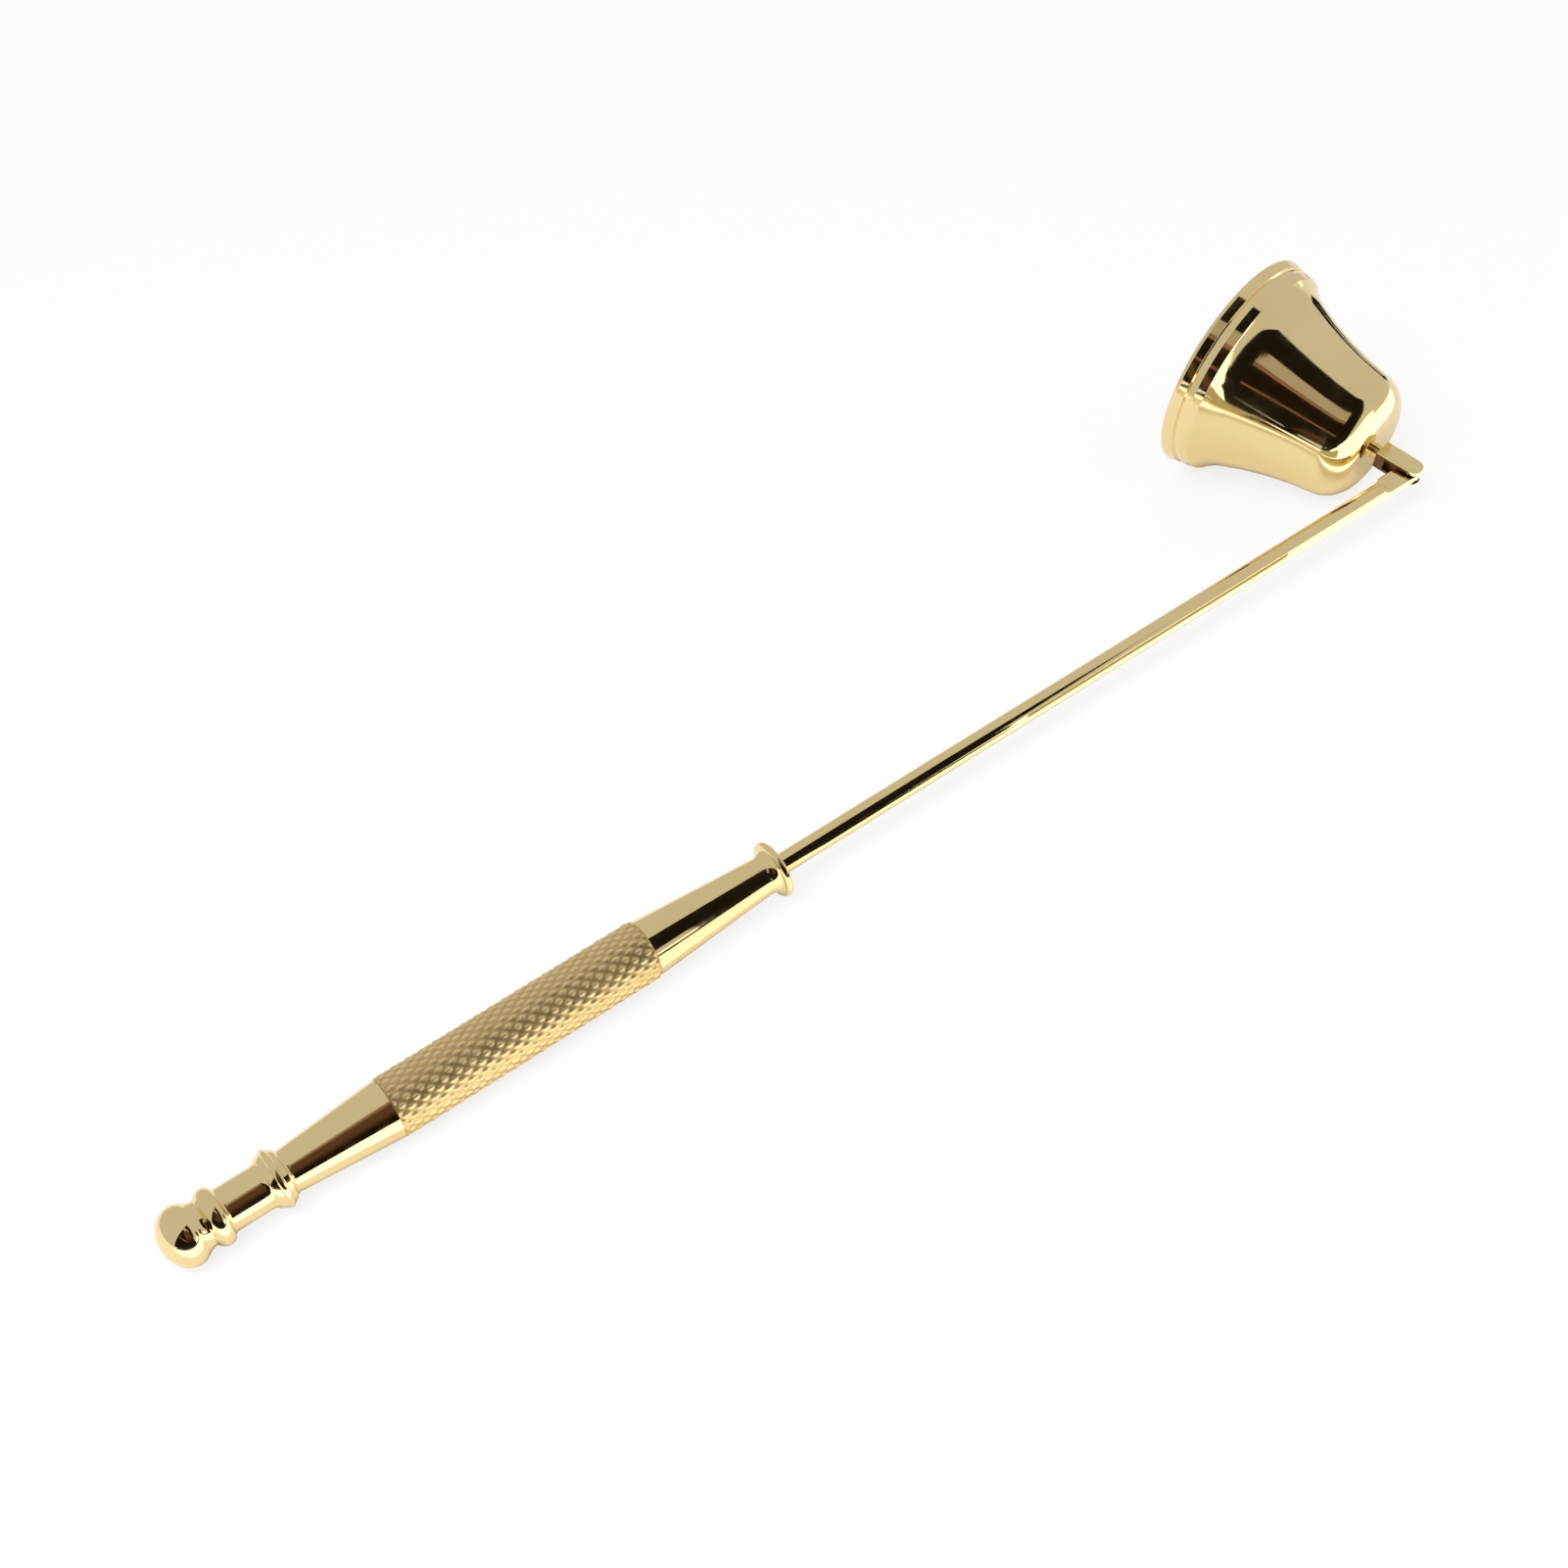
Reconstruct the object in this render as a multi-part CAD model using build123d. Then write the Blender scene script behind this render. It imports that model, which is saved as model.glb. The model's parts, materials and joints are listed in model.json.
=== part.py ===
from build123d import *
import math
import os

# Candle snuffer with a tilting bell, a thin rod and a turned handle with a knurled grip.
# All sizes in millimetres. Stations run along the handle from the tail end of the knob.

# Overall reach and the pose it lies in
REACH = 218.9
FOLD_ANGLE = 78.6

# Knob on the tail end
KNOB_DIAMETER = 8.45
KNOB_CREST = 3.4
KNOB_SIDE_RADIUS = 3.0
KNOB_FALL_STATION = 4.75
KNOB_FALL_DIAMETER = 7.5
NECK_STATION = 6.1
NECK_DIAMETER = 6.4
KNOB_SPIGOT_LENGTH = 6.0

# Small ring, stem and large ring behind the grip
SMALL_RING_DIAMETER = 8.14
SMALL_RING_STATION = 7.6
SMALL_RING_WIDTH = 1.9
SMALL_RING_FLANK_DIAMETER = 7.4
STEM_DIAMETER = 6.2
STEM_START = 9.3
STEM_END = 14.1
LARGE_RING_DIAMETER = 8.4
LARGE_RING_STATION = 16.3
LARGE_RING_CREST_WIDTH = 1.0
LARGE_RING_CREST_DROP = 0.3
LARGE_RING_FLANK_DIAMETER = 7.1
LARGE_RING_REAR_FLANK = 15.0
LARGE_RING_FRONT_FLANK = 17.45

# Tapers and grip
REAR_TAPER_START = 18.15
REAR_TAPER_DIAMETER = 6.1
GRIP_START = 32.75
GRIP_END = 72.85
GRIP_DIAMETER = 8.74
GRIP_EDGE = 0.12
REAR_TAPER_TOP = 8.5
FRONT_TAPER_TOP = 8.2
FRONT_TAPER_END = 92.3
FRONT_TAPER_DIAMETER = 5.58
HANDLE_BORE = 4.0

# Collar where the rod leaves the handle
COLLAR_DIAMETER = 8.45
COLLAR_CREST = 94.35
COLLAR_BEAD_RADIUS = 0.55
COLLAR_SPIGOT_LENGTH = 14.0

# Rod and its flat tongue
ROD_DIAMETER = 3.0
ROD_TAIL_STATION = 78.0
TONGUE_THICKNESS = 1.3
TONGUE_WIDTH = 3.3
TONGUE_OFFSET = 0.25
TONGUE_LENGTH = 5.6
TONGUE_LEAD = 1.2
TONGUE_ROOT_WIDTH = 2.4

# Bell, measured along its axis from the mouth
MOUTH_REACH = 35.1
MOUTH_DIAMETER = 36.4
MOUTH_BORE_DIAMETER = 32.6
MOUTH_LAND = 4.4
LIP_ROUND = 0.6
BAND_SLOPE = 14.0
LIP_BAND_END = 2.05
GROOVE_STATION = 2.25
GROOVE_DIAMETER = 34.9
SECOND_BAND_START = 3.45
SECOND_EDGE = 4.72
SECOND_EDGE_DIAMETER = 34.15
SECOND_EDGE_ROUND = 0.25
BAND_CORNER_ROUND = 0.1
FLARE_SLOPE = 46.0
FLARE_END = 8.3
FLARE_END_DIAMETER = 29.74
SHOULDER_CENTRE = 22.6
SHOULDER_CENTRE_DIAMETER = 10.4
SHOULDER_RADIUS = 5.6
SHOULDER_JOIN_ANGLE = 7.65
BELL_WALL = 1.1

# Fork, its stud, and what holds it to the crown
FORK_WIDTH = 3.2
NECK_LENGTH = 1.1
SLOT_THICKNESS = 2.0
SLOT_DEPTH = 4.2
STUD_DIAMETER = 2.4
STUD_HOLE_DIAMETER = 2.5
STUD_SPARE = 0.6
FORK_EDGE = 0.15
WASHER_DIAMETER = 6.0
WASHER_THICKNESS = 0.5
NUT_ACROSS_FLATS = 4.5
NUT_THICKNESS = 1.8

# Hinge pin
PIN_DIAMETER = 1.5
PIN_RUNNING_CLEARANCE = 0.03

os.makedirs("parts", exist_ok=True)


def turned(edges):
    """Revolves a closed outline, drawn as length along X and radius along Y, about X."""
    return revolve(make_face(edges), Axis.X)


def inward(edge, distance):
    """The point that far inside the end of an outline edge drawn from crown to mouth."""
    tangent = edge % 1
    end = edge @ 1
    return (end.X - tangent.Y * distance, end.Y + tangent.X * distance)


# Knob with the spigot that closes the handle's bore
knob_radius = KNOB_DIAMETER / 2
bore_radius = HANDLE_BORE / 2
side_height = knob_radius - KNOB_SIDE_RADIUS
cap_rise = KNOB_CREST - KNOB_SIDE_RADIUS
cap_radius = (KNOB_CREST ** 2 + side_height ** 2 - KNOB_SIDE_RADIUS ** 2) / (2 * cap_rise)
cap_angle = math.atan2(side_height, cap_radius - KNOB_CREST)
cap_end = (cap_radius - cap_radius * math.cos(cap_angle), cap_radius * math.sin(cap_angle))
knob_cap = TangentArc((0, 0), cap_end, tangent=(0, 1))
knob_side = TangentArc(cap_end, (KNOB_CREST, knob_radius), tangent=knob_cap % 1)
knob_fall = TangentArc(
    (KNOB_CREST, knob_radius), (KNOB_FALL_STATION, KNOB_FALL_DIAMETER / 2), tangent=(1, 0))
knob_neck = TangentArc(knob_fall @ 1, (NECK_STATION, NECK_DIAMETER / 2), tangent=knob_fall % 1)
spigot_end = NECK_STATION + KNOB_SPIGOT_LENGTH
knob_back = Polyline(
    (NECK_STATION, NECK_DIAMETER / 2), (NECK_STATION, bore_radius),
    (spigot_end, bore_radius), (spigot_end, 0), (0, 0))
knob = turned([knob_cap, knob_side, knob_fall, knob_neck, knob_back])

# Handle body: small ring, stem, large ring, rear taper, grip and front taper
ring_rear = SMALL_RING_STATION - SMALL_RING_WIDTH / 2
ring_front = SMALL_RING_STATION + SMALL_RING_WIDTH / 2
flank_radius = SMALL_RING_FLANK_DIAMETER / 2
stem_radius = STEM_DIAMETER / 2
small_ring_flank = Line((NECK_STATION, NECK_DIAMETER / 2), (ring_rear, flank_radius))
small_ring = ThreePointArc(
    (ring_rear, flank_radius), (SMALL_RING_STATION, SMALL_RING_DIAMETER / 2), (ring_front, flank_radius))
small_ring_cove = TangentArc((STEM_START, stem_radius), (ring_front, flank_radius), tangent=(-1, 0))
stem = Line((STEM_START, stem_radius), (STEM_END, stem_radius))
large_flank_radius = LARGE_RING_FLANK_DIAMETER / 2
crest_radius = LARGE_RING_DIAMETER / 2
crest_rear = (LARGE_RING_STATION - LARGE_RING_CREST_WIDTH / 2, crest_radius - LARGE_RING_CREST_DROP)
crest_front = (LARGE_RING_STATION + LARGE_RING_CREST_WIDTH / 2, crest_radius - LARGE_RING_CREST_DROP)
rear_cove = TangentArc((STEM_END, stem_radius), (LARGE_RING_REAR_FLANK, large_flank_radius), tangent=(1, 0))
rear_flank = Line((LARGE_RING_REAR_FLANK, large_flank_radius), crest_rear)
large_crest = ThreePointArc(crest_rear, (LARGE_RING_STATION, crest_radius), crest_front)
front_flank = Line(crest_front, (LARGE_RING_FRONT_FLANK, large_flank_radius))
taper_radius = REAR_TAPER_DIAMETER / 2
front_cove = TangentArc(
    (REAR_TAPER_START, taper_radius), (LARGE_RING_FRONT_FLANK, large_flank_radius), tangent=(-1, 0))
grip_radius = GRIP_DIAMETER / 2
body_front = Polyline(
    (REAR_TAPER_START, taper_radius),
    (GRIP_START, REAR_TAPER_TOP / 2),
    (GRIP_START + GRIP_EDGE, grip_radius),
    (GRIP_END - GRIP_EDGE, grip_radius),
    (GRIP_END, FRONT_TAPER_TOP / 2),
    (FRONT_TAPER_END, FRONT_TAPER_DIAMETER / 2),
    (FRONT_TAPER_END, bore_radius),
    (NECK_STATION, bore_radius),
    (NECK_STATION, NECK_DIAMETER / 2))
grip = turned([
    small_ring_flank, small_ring, small_ring_cove, stem, rear_cove, rear_flank,
    large_crest, front_flank, front_cove, body_front])

# Collar: a cove, a round bead and a spigot in the handle's bore
rod_radius = ROD_DIAMETER / 2
bead_centre_radius = COLLAR_DIAMETER / 2 - COLLAR_BEAD_RADIUS
bead_rear = (COLLAR_CREST - COLLAR_BEAD_RADIUS, bead_centre_radius)
bead_front = (COLLAR_CREST + COLLAR_BEAD_RADIUS, bead_centre_radius)
collar_cove = TangentArc((FRONT_TAPER_END, FRONT_TAPER_DIAMETER / 2), bead_rear, tangent=(1, 0))
collar_bead = ThreePointArc(bead_rear, (COLLAR_CREST, COLLAR_DIAMETER / 2), bead_front)
collar_tail = FRONT_TAPER_END - COLLAR_SPIGOT_LENGTH
collar_back = Polyline(
    bead_front, (COLLAR_CREST + COLLAR_BEAD_RADIUS, rod_radius), (collar_tail, rod_radius),
    (collar_tail, bore_radius), (FRONT_TAPER_END, bore_radius),
    (FRONT_TAPER_END, FRONT_TAPER_DIAMETER / 2))
collar = turned([collar_cove, collar_bead, collar_back])

# Rod with a flat tongue and its eye, set off towards the bell; the hinge pin is at the origin from here on
tail_shift = Pos(-REACH, 0, 0)
knob = tail_shift * knob
grip = tail_shift * grip
collar = tail_shift * collar
tongue_radius = TONGUE_WIDTH / 2
root_half = TONGUE_ROOT_WIDTH / 2
lead_start = TONGUE_LENGTH + TONGUE_LEAD
rod_length = REACH - TONGUE_LENGTH - ROD_TAIL_STATION
rod = Pos(-TONGUE_LENGTH - rod_length, 0, 0) * turned([Polyline(
    (0, 0), (0, rod_radius), (rod_length - TONGUE_LEAD, rod_radius),
    (rod_length, TONGUE_THICKNESS / 2), (rod_length, 0), (0, 0))])
tongue_bell_side = TONGUE_OFFSET + tongue_radius
tongue_far_side = TONGUE_OFFSET - tongue_radius
tongue_outline = make_face([Polyline(
    (-lead_start, root_half), (-TONGUE_LENGTH, tongue_bell_side), (0, tongue_bell_side), (0, tongue_far_side),
    (-TONGUE_LENGTH, tongue_far_side), (-lead_start, -root_half), (-lead_start, root_half))])
tongue_outline += Pos(0, TONGUE_OFFSET) * Circle(tongue_radius)
rod += Pos(0, 0, -TONGUE_THICKNESS / 2) * extrude(tongue_outline, TONGUE_THICKNESS)
rod -= Cylinder(PIN_DIAMETER / 2 + PIN_RUNNING_CLEARANCE, ROD_DIAMETER)

# Bell shell: outside from the crown's rim down to the mouth
shoulder_centre_radius = SHOULDER_CENTRE_DIAMETER / 2
crown_top = SHOULDER_CENTRE + SHOULDER_RADIUS
join = math.radians(SHOULDER_JOIN_ANGLE)
join_direction = (-math.cos(join), math.sin(join))


def shoulder_point(radius, angle):
    """A point of the shoulder's arc, turned that far from straight out towards the crown."""
    return (SHOULDER_CENTRE + radius * math.sin(angle), shoulder_centre_radius + radius * math.cos(angle))


def shoulder_arc(radius):
    """The shoulder's arc of that radius, from the flat of the crown out to the body."""
    middle = (join + math.pi / 2) / 2
    return ThreePointArc(
        shoulder_point(radius, math.pi / 2), shoulder_point(radius, middle), shoulder_point(radius, join))


outer_shoulder = shoulder_arc(SHOULDER_RADIUS)
outer_body = TangentArc(outer_shoulder @ 1, (FLARE_END, FLARE_END_DIAMETER / 2), tangent=join_direction)
mouth_radius = MOUTH_DIAMETER / 2
edge_centre_radius = SECOND_EDGE_DIAMETER / 2
slope = math.radians(BAND_SLOPE)
flare_slope = math.radians(FLARE_SLOPE)


def round_point(centre, centre_radius, radius, angle):
    """A point of a round on the outside, turned that far from straight out towards the crown."""
    return (centre + radius * math.sin(angle), centre_radius + radius * math.cos(angle))


def round_arc(centre, centre_radius, radius, first, last):
    """A round on the outside between two such angles."""
    return ThreePointArc(*[
        round_point(centre, centre_radius, radius, angle) for angle in (first, (first + last) / 2, last)])


second_edge = round_arc(SECOND_EDGE, edge_centre_radius, SECOND_EDGE_ROUND, flare_slope, slope)
outer_flare = TangentArc(outer_body @ 1, second_edge @ 0, tangent=outer_body % 1)
lip_edge = round_arc(LIP_ROUND, mouth_radius - LIP_ROUND, LIP_ROUND, slope, -math.pi / 2)
second_front = second_edge @ 1
lip_front = lip_edge @ 0
second_crest_radius = second_front.Y + (second_front.X - SECOND_BAND_START) * math.tan(slope)
lip_end_radius = lip_front.Y - (LIP_BAND_END - lip_front.X) * math.tan(slope)
bands = FilletPolyline(
    second_front, (SECOND_BAND_START, second_crest_radius), (GROOVE_STATION, GROOVE_DIAMETER / 2),
    (LIP_BAND_END, lip_end_radius), lip_front, radius=BAND_CORNER_ROUND)
outer_lip = [second_edge, bands, lip_edge]

# Inside of the shell, one wall thickness in, with a straight land at the mouth
inner_shoulder_radius = SHOULDER_RADIUS - BELL_WALL
inner_shoulder = shoulder_arc(inner_shoulder_radius)
inner_body = TangentArc(inner_shoulder @ 1, inward(outer_body, BELL_WALL), tangent=join_direction)
land_radius = MOUTH_BORE_DIAMETER / 2
inner_flare = TangentArc(inner_body @ 1, (MOUTH_LAND, land_radius), tangent=inner_body % 1)
inside_path = [Line((MOUTH_LAND, land_radius), (0, land_radius))]
crown_inside = SHOULDER_CENTRE + inner_shoulder_radius
stud_hole_radius = STUD_HOLE_DIAMETER / 2
crown_lines = [
    Line((crown_top, shoulder_centre_radius), (crown_top, stud_hole_radius)),
    Line((crown_top, stud_hole_radius), (crown_inside, stud_hole_radius)),
    Line((crown_inside, stud_hole_radius), (crown_inside, shoulder_centre_radius)),
    Line((0, land_radius), (0, mouth_radius - LIP_ROUND))]
bell = turned(
    [outer_shoulder, outer_body, outer_flare] + outer_lip
    + [inner_shoulder, inner_body, inner_flare] + inside_path + crown_lines)

# Fork with a slot for the tongue and a stud through the crown
fork_start = crown_top + NECK_LENGTH
fork_end_radius = FORK_WIDTH / 2
fork_straight = MOUTH_REACH - fork_start
fork_outline = Pos(fork_start + fork_straight / 2, 0) * Rectangle(fork_straight, FORK_WIDTH)
fork_outline += Pos(MOUTH_REACH, 0) * Circle(fork_end_radius)
fork = Pos(0, 0, -fork_end_radius) * extrude(fork_outline, FORK_WIDTH)
fork_faces = fork.faces().sort_by(Axis.Z)
fork = chamfer(fork_faces[-1].edges() + fork_faces[0].edges(), FORK_EDGE)
slot_length = SLOT_DEPTH + FORK_WIDTH
slot_middle = MOUTH_REACH - SLOT_DEPTH + slot_length / 2
fork -= Pos(slot_middle, 0, 0) * Box(slot_length, 2 * FORK_WIDTH, SLOT_THICKNESS)
fork -= Pos(MOUTH_REACH, 0, 0) * Cylinder(PIN_DIAMETER / 2, 2 * FORK_WIDTH)
nut_end = crown_inside - WASHER_THICKNESS - NUT_THICKNESS
stud_start = nut_end - STUD_SPARE
stud_length = fork_start - stud_start
fork += Pos(stud_start + stud_length / 2, 0, 0) * Rot(0, 90, 0) * Cylinder(STUD_DIAMETER / 2, stud_length)

# Washer and nut inside the crown
crown_washer = Pos(crown_inside - WASHER_THICKNESS / 2, 0, 0) * Rot(0, 90, 0) * (
    Cylinder(WASHER_DIAMETER / 2, WASHER_THICKNESS) - Cylinder(stud_hole_radius, WASHER_THICKNESS))
nut_outline = RegularPolygon(NUT_ACROSS_FLATS / 2, 6, major_radius=False) - Circle(STUD_DIAMETER / 2)
crown_nut = Pos(nut_end, 0, 0) * Rot(0, 90, 0) * extrude(nut_outline, NUT_THICKNESS)

# Hinge pin, flush with both cheeks of the fork
hinge_pin = Cylinder(PIN_DIAMETER / 2, FORK_WIDTH)

# Turn the bell's pieces about the pin to the folded pose
bell_pose = Rot(0, 0, -FOLD_ANGLE) * Pos(-MOUTH_REACH, 0, 0)
pieces = {
    "knob": knob,
    "grip": grip,
    "collar": collar,
    "rod": rod,
    "bell": bell_pose * bell,
    "fork": bell_pose * fork,
    "crown_washer": bell_pose * crown_washer,
    "crown_nut": bell_pose * crown_nut,
    "hinge_pin": hinge_pin,
}

# It lies on the knob, on the edge of the bell's second band and on the bell's shoulder.
# The bell's tilt follows from the edge and the shoulder, the rod's from the knob and the pin's height.
fold = math.radians(FOLD_ANGLE)
edge_reach = MOUTH_REACH - SECOND_EDGE
along = SHOULDER_CENTRE - SECOND_EDGE
across = edge_centre_radius - shoulder_centre_radius
bell_tilt = math.atan2(across, along) + math.asin(
    (SECOND_EDGE_ROUND - SHOULDER_RADIUS) / math.hypot(along, across))
pin_height = (
    edge_centre_radius * math.cos(bell_tilt) + SECOND_EDGE_ROUND - edge_reach * math.sin(bell_tilt))
knob_reach = REACH - KNOB_CREST
knob_angle = math.atan2(knob_radius, knob_reach)
rod_tilt = math.asin(pin_height / math.hypot(knob_reach, knob_radius)) - knob_angle
up_x = math.sin(rod_tilt)
up_y = (math.sin(bell_tilt) + math.cos(fold) * up_x) / math.sin(fold)
up = Vector(up_x, up_y, math.sqrt(1 - up_x ** 2 - up_y ** 2))
forward = (Vector(1, 0, 0) - up * up_x).normalized()
table = Plane(origin=(0, 0, 0), x_dir=forward, z_dir=up)
laid = {name: table.to_local_coords(shape) for name, shape in pieces.items()}

# Centre the whole over the origin, with the table at height zero
boxes = [shape.bounding_box() for shape in laid.values()]
low = [min(getattr(box.min, axis) for box in boxes) for axis in "XYZ"]
high = [max(getattr(box.max, axis) for box in boxes) for axis in "XYZ"]
shift = Vector(-(low[0] + high[0]) / 2, -(low[1] + high[1]) / 2, pin_height)
placed = {name: Pos(*shift) * shape for name, shape in laid.items()}

for name, shape in placed.items():
    export_step(shape, "parts/" + name + ".step")


def in_row(point):
    """A point of the hinge frame in the placed frame."""
    return table.to_local_coords(Vector(*point)) + shift


def facing(direction):
    """A direction of the hinge frame in the placed frame."""
    return table.to_local_coords(Vector(*direction)) - table.to_local_coords(Vector(0, 0, 0))


mouth = (-math.cos(fold), math.sin(fold), 0)
mouth_centre = tuple(MOUTH_REACH * part for part in mouth)
print("box", [high[i] - low[i] for i in range(3)], "lowest", low[2] + pin_height)
print("bell tilt", math.degrees(bell_tilt), "rod tilt", math.degrees(rod_tilt))
print("pin", in_row((0, 0, 0)), "pin axis", facing((0, 0, 1)))
print("mouth", in_row(mouth_centre), "mouth axis", facing(mouth))
print("tail", in_row((-REACH, 0, 0)), "rod axis", facing((1, 0, 0)))
for name, shape in placed.items():
    print(name, "volume", shape.volume, "centre", shape.center(CenterOf.MASS))
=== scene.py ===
import json
import math

import bpy
from bpy.props import FloatProperty, FloatVectorProperty, IntProperty, PointerProperty
from mathutils import Matrix, Vector


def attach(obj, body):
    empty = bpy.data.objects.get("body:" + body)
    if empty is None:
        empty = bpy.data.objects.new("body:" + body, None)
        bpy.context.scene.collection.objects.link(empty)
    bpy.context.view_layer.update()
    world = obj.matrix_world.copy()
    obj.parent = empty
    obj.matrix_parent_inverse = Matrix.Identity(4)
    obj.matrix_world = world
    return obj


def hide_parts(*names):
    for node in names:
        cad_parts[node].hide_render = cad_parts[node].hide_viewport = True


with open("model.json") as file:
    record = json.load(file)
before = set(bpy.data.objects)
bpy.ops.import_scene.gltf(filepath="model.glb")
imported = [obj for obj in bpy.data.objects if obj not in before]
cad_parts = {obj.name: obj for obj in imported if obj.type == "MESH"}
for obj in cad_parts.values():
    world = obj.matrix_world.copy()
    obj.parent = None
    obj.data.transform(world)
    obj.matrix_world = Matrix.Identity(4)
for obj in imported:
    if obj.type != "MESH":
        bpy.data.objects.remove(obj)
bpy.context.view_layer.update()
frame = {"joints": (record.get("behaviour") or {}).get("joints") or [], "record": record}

bl_info = {
    "name": "Candle Snuffer",
    "version": (1, 0, 0),
    "blender": (4, 5, 0),
    "location": "View3D > Sidebar > Snuffer",
    "description": "Models a gold-plated candle snuffer with a tilting bell, around its packed solids",
    "category": "Add Mesh",
}

# Units and limits of the modelling steps
MM = 0.001
MERGE_DISTANCE = 1e-6
ARC_STEP = math.radians(4)
CREASE_ANGLE = math.radians(28)
NOISE_RANGE = (0.35, 0.65)

# Sockets of a mix node that mixes colours
MIX_FACTOR, MIX_FIRST, MIX_SECOND, MIX_RESULT = 0, 6, 7, 2

# A face leans inwards, or faces along an axis, where its normal has this share of that direction
INSIDE_LEAN = 0.3
FACING = 0.9

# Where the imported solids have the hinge, the handle and the bell
MOUNTS = {mount["name"]: mount for mount in frame["record"]["mounts"]}
PIN_PLACE = Vector(frame["joints"][0]["pos_m"])
PIN_AXIS = -Vector(frame["joints"][0]["axis"]).normalized()
HANDLE_AXIS = -Vector(MOUNTS["grip"]["axis"]).normalized()
MOUTH_AXIS = Vector(MOUNTS["mouth"]["axis"]).normalized()


def size(name, millimetres, description, lowest=0):
    """A length that a user may change, given in millimetres."""
    return FloatProperty(
        name=name, description=description, default=millimetres * MM, min=lowest * MM, precision=5,
        unit="LENGTH")


def extent(name, millimetres, card):
    """Where a flat card starts and ends in its two directions, given in millimetres."""
    return FloatVectorProperty(
        name=name, description="Left, right, low and high end of " + card, size=4, precision=5,
        unit="LENGTH", default=[value * MM for value in millimetres])


def ring(name, station, diameter, what):
    """A station along a turned piece and its diameter there, given in millimetres."""
    return FloatVectorProperty(
        name=name, description="Station and diameter of " + what, size=2, precision=5, unit="LENGTH",
        default=(station * MM, diameter * MM))


def position(name, millimetres, description):
    """A place that a user may change, given in millimetres."""
    return FloatVectorProperty(
        name=name, description=description, size=3, precision=5, subtype="TRANSLATION", unit="LENGTH",
        default=[value * MM for value in millimetres])


def count(name, value, description, lowest=1, highest=256):
    """A whole number that a user may change."""
    return IntProperty(name=name, description=description, default=value, min=lowest, max=highest)


def number(name, value, description, unit="NONE"):
    """A number of at least zero that a user may change."""
    return FloatProperty(name=name, description=description, default=value, min=0, unit=unit)


def share(name, value, description):
    """A number from 0 to 1 that a user may change."""
    return FloatProperty(name=name, description=description, default=value, min=0, max=1, subtype="FACTOR")


def colour(name, value, description):
    """A colour that a user may change."""
    return FloatVectorProperty(
        name=name, description=description, default=value, size=3, min=0, max=1, subtype="COLOR")


def angle(name, degrees, description):
    """An angle that a user may change, given in degrees."""
    return FloatProperty(
        name=name, description=description, default=math.radians(degrees), subtype="ANGLE", unit="ROTATION")


class HandleSizes(bpy.types.PropertyGroup):
    """Sizes of the turned handle, with stations measured from the tail of the knob."""

    reach: size("Reach", 218.9, "From the tail of the knob to the hinge pin")
    knob_crest: ring("Knob crest", 3.4, 8.45, "the knob's thickest part")
    knob_side: size("Knob side radius", 3.0, "Radius of the arc round the knob's side")
    knob_fall: ring("Knob fall", 4.75, 7.5, "the knob where it turns into its neck")
    neck: ring("Neck", 6.1, 6.4, "the crease between knob and small ring")
    knob_spigot: size("Knob spigot", 6.0, "Length of the knob's spigot in the handle")
    small_ring: ring("Small ring", 7.6, 8.14, "the small ring's crest")
    small_ring_width: size("Small ring width", 1.9, "Width of the small ring's round")
    small_ring_flank: size("Small ring flank", 7.4, "Diameter at the foot of the small ring's round")
    stem_diameter: size("Stem diameter", 6.2, "Thickness of the stem between the rings")
    stem_start: size("Stem start", 9.3, "Station where the stem begins")
    stem_end: size("Stem end", 14.1, "Station where the stem ends")
    large_ring: ring("Large ring", 16.3, 8.4, "the large ring's crest")
    crest_width: size("Crest width", 1.0, "Width of the large ring's crest")
    crest_drop: size("Crest drop", 0.3, "How far the crest's edges lie below its middle")
    large_flank_diameter: size("Large ring flank", 7.1, "Diameter at the foot of the large ring's flanks")
    large_flank_rear: size("Rear flank", 15.0, "Station of the rear flank's foot")
    large_flank_front: size("Front flank", 17.45, "Station of the front flank's foot")
    rear_taper: ring("Rear taper", 18.15, 6.1, "the rear taper's thin end")
    rear_taper_top: size("Rear taper top", 8.5, "Diameter where the rear taper meets the knurl")
    grip_start: size("Grip start", 32.75, "Station where the knurl begins")
    grip_end: size("Grip end", 72.85, "Station where the knurl ends")
    grip_diameter: size("Grip diameter", 8.74, "Diameter over the peaks of the knurl")
    front_taper_top: size("Front taper top", 8.2, "Diameter where the knurl meets the front taper")
    front_taper: ring("Front taper", 92.3, 5.58, "the front taper's thin end")
    bore: size("Bore", 4.0, "Diameter of the handle's bore")
    collar_crest: ring("Collar crest", 94.35, 8.45, "the collar's bead")
    collar_bead: size("Collar bead", 0.55, "Radius of the collar's bead")
    collar_spigot: size("Collar spigot", 14.0, "Length of the collar's spigot in the handle")
    steps: count("Steps", 96, "Steps round a turned piece", lowest=24)


class KnurlSizes(bpy.types.PropertyGroup):
    """Sizes of the diamond knurl."""

    around: count("Around", 19, "Diamonds round the grip", lowest=8)
    rows: count("Rows", 19, "Diamonds along the grip", lowest=4)
    depth: size("Depth", 0.26, "From the valleys to the peaks, before they are softened")
    flank: size("Flank", 0.36, "Width of a diamond's sloping side")
    softness: count("Softness", 2, "Rounds of smoothing", lowest=0, highest=3)
    bed: size("Bed", 0.25, "Thickness of metal under the valleys")
    # painted shade: between these shares of the knurl's depth the valleys darken to the valley colour,
    # standing for the shade between the diamonds
    valley_shade_start: share("Tone start", 0.2, "Share of the depth at which the valleys' colour begins")
    valley_shade_full: share("Tone full", 0.7, "Share of the depth at which the valleys' colour is full")


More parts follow.
